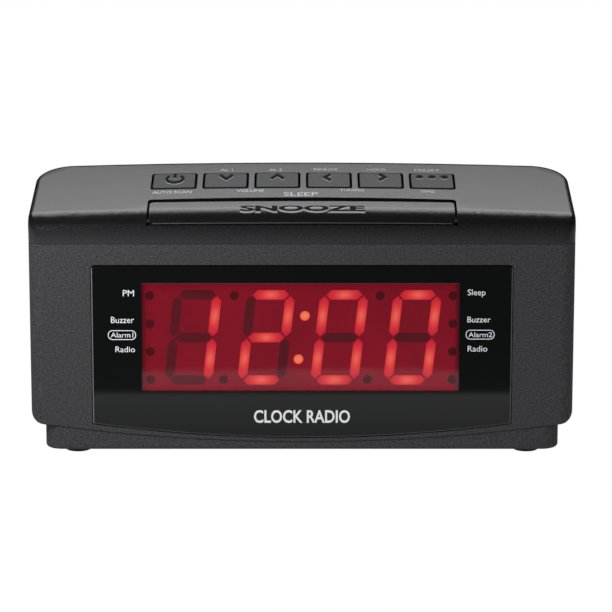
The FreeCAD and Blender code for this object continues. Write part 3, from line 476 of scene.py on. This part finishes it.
def tinted_window():
    """Red acrylic: mostly clear to the red display behind it, glossy in front.

    Its face bows a little downward, so it mirrors more of what lies below than the panel does.
    Its two side edges are painted darker, as painted shade for the light lost there.
    """
    material, tree, principled = new_material("red_filter")
    middle = (WINDOW[0].x + WINDOW[1].x) / 2
    half = (WINDOW[1].x - WINDOW[0].x) / 2
    aside = compute(tree, "SUBTRACT", split(tree, own_place(tree))["X"], middle)
    share = compute(tree, "DIVIDE", compute(tree, "ABSOLUTE", aside), half)
    clear_end = (half - FLANGE - DARK_EDGE) / half
    dark_start = clear_end + 0.003
    # Painted shade: the colour is darker and less clear in the two side edges.
    connect(tree, ramp(tree, share, [(clear_end, (0.16, 0.006, 0.016)),
                                     (dark_start, (0.075, 0.006, 0.010))]),
            principled.inputs["Base Color"])
    connect(tree, ramp(tree, share, [(clear_end, 0.28), (dark_start, 0.5)]),
            principled.inputs["Alpha"])
    principled.inputs["Roughness"].default_value = 0.02
    principled.inputs["Specular IOR Level"].default_value = 1.0
    surface = tree.nodes.new("ShaderNodeNewGeometry")
    bow = tree.nodes.new("ShaderNodeVectorMath")
    bow.operation = "ADD"
    bow.inputs[1].default_value = (0, 0, -WINDOW_BOW)
    connect(tree, surface.outputs["Normal"], bow.inputs[0])
    unit = tree.nodes.new("ShaderNodeVectorMath")
    unit.operation = "NORMALIZE"
    connect(tree, bow.outputs["Vector"], unit.inputs[0])
    bump(tree, principled, noise(tree, 55, 1), 0.3, 0.0003, under=unit.outputs["Vector"])
    return material


red_filter = tinted_window()

dress(case_plastic, "cabinet", "base")
dress(top_plastic, "top_cover", "snooze_bar")
KEYS = ["power_button", "volume_down_button", "volume_up_button", "tuning_down_button",
        "tuning_up_button", "preset_button"]
dress(key_plastic, *KEYS)
dress(panel_gloss, "bezel_panel")
dress(red_filter, "display_filter")
dress(lit_bar, "digit_segments_lit")
dress(lit_dot, "colon_dots")
dress(dark_bar, "digit_segments_dark")
dress(dark_dot, "indicator_dots")
dress(display_red, "display_housing")
dress(chip_clear, "led_chips")
dress(circuit_board, "display_board", "key_board", "main_board")
dress(screw_steel, "display_screws", "case_screws", "key_board_screws", "board_screws",
      "speaker_screws")
dress(black_component, "key_switches", "controller_chip", "amplifier_chip", "power_jack")
dress(plunger_plastic, *[name for name in nodes if name.endswith("_plunger")])
dress(tinned_steel, "tuner_module", "timing_crystal", "battery_contacts")
dress(sleeve, "electrolytic_capacitors")
dress(ribbon_grey, "display_ribbon", "key_ribbon")
dress(speaker_steel, "speaker_frame", "speaker_magnet")
dress(cone_paper, "speaker_cone")
dress(ferrite, "ferrite_rod")
dress(copper_wire, "aerial_coil")
dress(clip_plastic, "rod_clips")
dress(rubber, "rubber_feet", "aerial_grommet")
dress(door_plastic, "battery_door")
dress(cell_jacket, "backup_batteries")
for cad_node in nodes.values():
    smooth(cad_node)


# ------------------------------------------------------------------ light bars
def upright(point, middle):
    """A point from its bar's middle, with the digits' slant taken out."""
    x, z = point.x - middle.x, point.z - middle.z
    return x - z * DIGIT_SLANT, z


def map_bars(thing):
    """Give each bar or dot of a node its own place map: -1 to 1 along it and across it."""
    mesh = thing.data
    shape = bmesh.new()
    shape.from_mesh(mesh)
    bmesh.ops.remove_doubles(shape, verts=shape.verts, dist=0.001 * MM)
    at_place = {place_key(vertex.co, BAR_GRID): vertex for vertex in shape.verts}
    islands = {}
    for vertex in shape.verts:
        if vertex in islands:
            continue
        members, waiting = [], [vertex]
        islands[vertex] = members
        while waiting:
            current = waiting.pop()
            members.append(current.co.copy())
            for edge in current.link_edges:
                other = edge.other_vert(current)
                if other not in islands:
                    islands[other] = members
                    waiting.append(other)
    places = mesh.attributes.new(BAR_MAP, "FLOAT_VECTOR", "POINT")
    for index, vertex in enumerate(mesh.vertices):
        members = islands[at_place[place_key(vertex.co, BAR_GRID)]]
        middle = sum(members, Vector()) / len(members)
        half_x = max(abs(upright(point, middle)[0]) for point in members)
        half_z = max(abs(upright(point, middle)[1]) for point in members)
        x, z = upright(vertex.co, middle)
        place = (x / half_x, z / half_z) if half_x > half_z else (z / half_z, x / half_x)
        places.data[index].vector = (place[0], place[1], 0)
    shape.free()


def edge_material(name, material, chosen):
    """Give some faces of a CAD node a second material."""
    mesh = nodes[name].data
    mesh.materials.append(material)
    for polygon in mesh.polygons:
        if chosen(polygon.normal):
            polygon.material_index = 1


# Painted highlight: the panel's chamfer gets a pale grey colour for the light it catches, except
# along its top.
panel_edge_highlight = moulded("panel_edge_highlight", (0.20, 0.20, 0.205), 0.35)
edge_material("bezel_panel", panel_edge_highlight,
              lambda normal: -0.9 < normal.y < -0.4 and normal.z < 0.3)

map_bars(nodes["digit_segments_lit"])
map_bars(nodes["colon_dots"])

# ------------------------------------------------------------------ print and marks
FRONT_LABELS = [    # name, words, left end, right end, baseline, top of the capitals, weight
    ("label_pm", "PM", -57.3, -53.7, 52.8, 54.8, 0.002),
    ("label_buzzer_left", "Buzzer", -61.2, -53.8, 44.1, 46.1, 0.002),
    ("label_alarm1", "Alarm1", -61.3, -54.1, 39.4, 41.0, 0.002),
    ("label_radio_left", "Radio", -59.9, -53.6, 34.6, 36.45, 0.002),
    ("label_sleep", "Sleep", 53.0, 58.7, 53.1, 55.0, 0.002),
    ("label_buzzer_right", "Buzzer", 53.0, 60.45, 44.3, 46.2, 0.002),
    ("label_alarm2", "Alarm2", 53.4, 61.0, 39.5, 41.1, 0.002),
    ("label_radio_right", "Radio", 53.2, 59.5, 34.8, 36.7, 0.002),
    ("panel_name", "CLOCK RADIO", -15.5, 15.5, 11.4, 15.6, 0.02),
]
for label, words, left, right, low, high, weight in FRONT_LABELS:
    piece = lettering(label, words, (high - low) * MM, (right - left) * MM, weight)
    stand_on_panel(piece, (left + right) / 2 * MM, (low + high) / 2 * MM)
    finish_piece(piece, print_white, "case")


def pill(name, left, right, low, high, round_end, stroke):
    """A long outline with rounded ends, printed round a label."""
    corners = [((right - round_end, high - round_end), 90, 0),
               ((right - round_end, low + round_end), 0, -90),
               ((left + round_end, low + round_end), -90, -180),
               ((left + round_end, high - round_end), 180, 90)]
    points = []
    for middle, start, end in corners:
        points += arc(middle, round_end, round_end, start, end, 8)
    middle_x, middle_z = (left + right) / 2, (low + high) / 2
    points = [((x - middle_x) * MM, (z - middle_z) * MM) for x, z in points]
    piece = ribbon(name, [(points, True)], stroke * MM)
    stand_on_panel(piece, middle_x * MM, middle_z * MM)
    finish_piece(piece, print_white, "case")


pill("alarm1_outline", -62.1, -53.35, 38.7, 41.6, 1.3, 0.24)
pill("alarm2_outline", 52.65, 61.65, 38.85, 41.75, 1.3, 0.24)

# A painted highlight: a pale strip for the bright upper edge of the window, seen just under the
# panel's cut edge.  Its section goes from the low near corner round to the high near corner: behind
# the panel's face, and below that edge.
LIP_SECTION = ((0.08, 0.18), (0.28, 0.28), (0.28, 0.02), (0.08, 0.05))
lip_ends = (WINDOW[0].x + FLANGE, WINDOW[1].x - FLANGE)
cut_edge = WINDOW[1].z - FLANGE
lip_painted_highlight = moulded("window_lip", (0.085, 0.05, 0.055), 0.4)
window_lip = make_mesh("window_lip", [(x, PANEL_FACE + behind * MM, cut_edge - below * MM)
                                      for x in lip_ends for behind, below in LIP_SECTION],
                       sections(0, 2))
finish_piece(window_lip, lip_painted_highlight, "case")

case_top = surface_of("top_cover")
LEGEND_WEIGHT = 0.012
TOP_LEGENDS = [     # name, words, middle, width, place up the slope, height, ink
    ("legend_al1", "AL 1", -24.97, 4.15, 32.4, 1.6, print_grey),
    ("legend_al2", "AL 2", -8.69, 4.18, 32.4, 1.6, print_grey),
    ("legend_minute", "MINUTE", 7.76, 7.8, 32.6, 1.55, print_grey),
    ("legend_hour", "HOUR", 24.68, 6.2, 32.6, 1.5, print_grey),
    ("legend_preset", "PRESET", 41.23, 8.3, 32.55, 1.45, print_grey),
    ("legend_auto_scan", "AUTO SCAN", -42.2, 12.6, 16.6, 1.8, print_pale),
    ("legend_volume", "VOLUME", -16.8, 8.8, 17.0, 1.75, print_pale),
    ("legend_sleep", "SLEEP", -0.4, 11.2, 14.45, 2.65, print_pale),
    ("legend_tuning", "TUNING", 16.2, 7.9, 17.4, 1.55, print_pale),
    ("legend_time", "TIME", 40.8, 4.7, 17.0, 1.5, print_pale),
]
for label, words, middle, width, along, height, ink in TOP_LEGENDS:
    piece = lettering(label, words, height * MM, width * MM, LEGEND_WEIGHT)
    lay_on_slope(piece, case_top, middle * MM, along * MM)
    finish_piece(piece, ink, "case")


def engraved_mark(name, make, surface, middle, along, body, drop=0.45):
    """A moulded-in mark drawn in painted light: a pale copy for its lit walls, drop down the slope,
    as a painted highlight, and a dark copy over them as painted shade in its recess.
    """
    # Painted highlight on the pale copy, painted shade on the dark copy.
    for part, material, shift, lift in (("_wall_highlight", painted_wall_highlight, -drop * MM, 0.0),
                                        ("_recess", recess_shadow, 0.0, INK)):
        piece = make(name + part)
        slice_rows(piece, MARK_ROW)
        lay_on_slope(piece, surface, middle * MM, along * MM + shift, lift)
        finish_piece(piece, material, body)


def tall_strokes(name, lines, width):
    """Strokes that are wider up the slope than across it; lines are in millimetres."""
    piece = ribbon(name, [([(x * MM, y * MM / TALL) for x, y in line], False) for line in lines],
                   width * MM)
    for vertex in piece.data.vertices:
        vertex.co.y *= TALL
    return piece


def power_mark(name):
    """A ring open at the top, with a stroke standing in its opening."""
    return tall_strokes(name, [arc((0, -0.4), 2.65, 2.6, 130, 410, 30), [(0, 0.2), (0, 3.4)]], 1.1)


def chevron(half_width, half_height, flat):
    """An arrow head of two strokes, lying on its side or upright."""
    if flat:
        points = [(-half_width, half_height), (0, -half_height), (half_width, half_height)]
    else:
        points = [(half_width, half_height), (-half_width, 0), (half_width, -half_height)]
    return lambda name: tall_strokes(name, [points], 1.15)


def three_dots(name):
    """Three dots in a row."""
    return dots(name, [(x * MM, 0) for x in (-4.1, 0, 4.1)], 1.3 * MM)


TALL = 1.7                          # how much wider the strokes are up the slope than across it
MARK_ROW = 0.4 * MM                 # the marks bend with the slope at rows this far apart
SNOOZE_WEIGHT = 0.045
KEY_MARKS = [       # name, drawing, key node, body, middle, place up the slope
    ("power_mark", power_mark, "power_button", "power_key", -41.65, 25.9),
    ("volume_down_mark", chevron(2.1, 1.55, True), "volume_down_button", "volume_down_key",
     -24.8, 26.5),
    ("volume_up_mark", chevron(2.1, -1.5, True), "volume_up_button", "volume_up_key",
     -8.05, 26.4),
    ("tuning_down_mark", chevron(1.0, 2.3, False), "tuning_down_button", "tuning_down_key",
     8.45, 26.05),
    ("tuning_up_mark", chevron(-1.0, 2.3, False), "tuning_up_button", "tuning_up_key",
     26.2, 26.4),
    ("preset_mark", three_dots, "preset_button", "preset_key", 42.6, 27.0),
]
for mark, drawing, key, body, middle, along in KEY_MARKS:
    engraved_mark(mark, drawing, surface_of(key), middle, along, body)
engraved_mark("snooze_mark",
              lambda name: lettering(name, "SNOOZE", 3.1 * MM, 40.0 * MM, SNOOZE_WEIGHT),
              surface_of("snooze_bar"), 0.15, 4.7, "snooze_key", drop=0.75)


def bar_edge(name, material, low, high):
    """A thin line along the snooze bar's front, low to high above the top cover's edge there."""
    bar = surface_of("snooze_bar")
    outside = FRONT - 5 * MM
    steps = 48
    vertices = []
    for index in range(steps + 1):
        x = BAR_HALF * (2 * index / steps - 1)
        z = CREST - 4 * MM          # climb the front until the bar comes before the cover
        while z < CREST:
            start = Vector((x, outside, z))
            to_cover = case_top.ray_cast(start, BACKWARD)[3]
            to_bar = bar.ray_cast(start, BACKWARD)[3]
            if to_bar is not None and (to_cover is None or to_bar < to_cover):
                break
            z += 0.01 * MM
        for height, out in ((low, 0.0), (low, INK), (high, INK), (high, 0.0)):
            start = Vector((x, outside, z + height * MM))
            vertices.append(bar.ray_cast(start, BACKWARD)[0] - BACKWARD * out)
    piece = make_mesh(name, vertices, sections(0, steps + 1))
    finish_piece(piece, material, "snooze_key")


BAR_HALF = 47.6 * MM                # half the straight part of the bar's front
# Painted shade in the joint under the snooze bar, and a painted highlight along the bar's lower
# edge.
painted_edge_highlight = moulded("painted_edge_highlight", (0.055, 0.055, 0.057), 0.35)
bar_edge("snooze_joint_shadow", recess_shadow, 0.02, 0.36)
bar_edge("snooze_edge_light", painted_edge_highlight, 0.46, 0.72)

# ------------------------------------------------------------------ camera, floor and light
camera_data = bpy.data.cameras.new("camera")
camera_data.sensor_width = 36
camera_data.lens = 137.06
LOOKING_DOWN = 9.5                  # degrees
camera = bpy.data.objects.new("camera", camera_data)
camera.location = (1.3 * MM, FRONT - 735.5 * MM, 172.7 * MM)
camera.rotation_euler = (math.radians(90 - LOOKING_DOWN), 0, 0)
scene.collection.objects.link(camera)
scene.camera = camera
scene.view_settings.view_transform = "Standard"

LIGHTS = [          # name, place, target, size, watts, whether glossy surfaces mirror it
    ("top_softbox", (0, 0.50, 0.998), (0, 0, 0.05), (1.4, 0.53), 8.7, True),
    ("top_softbox_edge", (0, 0.165, 1.107), (0, 0, 0.05), (1.4, 0.17), 1.7, True),
    ("front_left_fill", (-0.12, -0.55, 0.5), (0, 0, 0.04), (0.25, 0.25), 2.1, False),
    ("left_wash", (-0.13, -0.16, 0.16), (-0.08, -0.03, 0.07), (0.06, 0.06), 0.22, False),
]
for lamp, place, target, size, watts, mirrored in LIGHTS:
    data = bpy.data.lights.new(lamp, "AREA")
    data.shape = "RECTANGLE"
    data.size, data.size_y = size
    data.energy = watts
    light = bpy.data.objects.new(lamp, data)
    light.location = place
    direction = Vector(target) - Vector(place)
    light.rotation_euler = direction.to_track_quat("-Z", "Y").to_euler()
    light.visible_glossy = mirrored
    scene.collection.objects.link(light)

SKY_SEEN = 1.0                      # how bright the studio is to the camera,
SKY_MIRRORED = 0.036                # in glossy surfaces,
SKY_LIGHT = 0.25                    # and as light on everything else
world = bpy.data.worlds.new("studio")
scene.world = world
world.use_nodes = True
sky = world.node_tree
around = sky.nodes["Background"]
around.inputs["Color"].default_value = (1, 1, 1, 1)
around.inputs["Strength"].default_value = SKY_LIGHT
path = sky.nodes.new("ShaderNodeLightPath")


def sky_for(ray, strength, other):
    """Add a plain sky of its own strength for one kind of ray."""
    plain = sky.nodes.new("ShaderNodeBackground")
    plain.inputs["Color"].default_value = (1, 1, 1, 1)
    plain.inputs["Strength"].default_value = strength
    mix = sky.nodes.new("ShaderNodeMixShader")
    connect(sky, path.outputs[ray], mix.inputs["Fac"])
    connect(sky, other, mix.inputs[1])
    connect(sky, plain.outputs["Background"], mix.inputs[2])
    return mix.outputs["Shader"]


mirrored_sky = sky_for("Is Glossy Ray", SKY_MIRRORED, around.outputs["Background"])
connect(sky, sky_for("Is Camera Ray", SKY_SEEN, mirrored_sky),
        sky.nodes["World Output"].inputs["Surface"])


def shining(name, stops=None, level=1.0):
    """A floor that sends out light itself: even, or fading away in front of the object.

    It can't be seen from below, so that the underside can be looked at.
    """
    material, tree, principled = new_material(name)
    side = tree.nodes.new("ShaderNodeNewGeometry")
    connect(tree, compute(tree, "SUBTRACT", 1.0, side.outputs["Backfacing"]),
            principled.inputs["Alpha"])
    principled.inputs["Base Color"].default_value = (0, 0, 0, 1)
    principled.inputs["Specular IOR Level"].default_value = 0.0
    principled.inputs["Emission Color"].default_value = (1, 1, 1, 1)
    principled.inputs["Emission Strength"].default_value = level
    if stops:
        ahead = share_between(tree, split(tree, own_place(tree))["Y"], FRONT, FRONT - FADE_REACH)
        connect(tree, ramp(tree, ahead, stops), principled.inputs["Emission Color"])
    return material


def floor(name, material, hidden):
    """A wide plain floor that some kinds of ray don't meet."""
    sheet = make_mesh(name, [(x * FLOOR_HALF, y * FLOOR_HALF, 0)
                             for x, y in ((-1, -1), (1, -1), (1, 1), (-1, 1))], [(0, 1, 2, 3)])
    sheet.data.materials.append(material)
    for kind in hidden:
        setattr(sheet, "visible_" + kind, False)


FLOOR_HALF = 12.0
FADE_REACH = 0.2                    # the mirrored floor fades over this much in front of the case
floor("floor_seen", shining("floor_white"), ("diffuse", "glossy", "transmission", "shadow"))
# The mirrored floor's glow is lower next to the case: a painted shadow of the case, seen in the
# panel's reflection.
floor("floor_mirrored", shining("floor_glow", [(0.0, 0.30), (0.30, 0.50), (0.50, 0.62),
                                               (0.53, 0.09), (1.0, 0.06)]),
      ("camera", "diffuse", "shadow"))
floor("floor_bounce", shining("floor_dim", level=0.32), ("camera", "glossy", "shadow"))
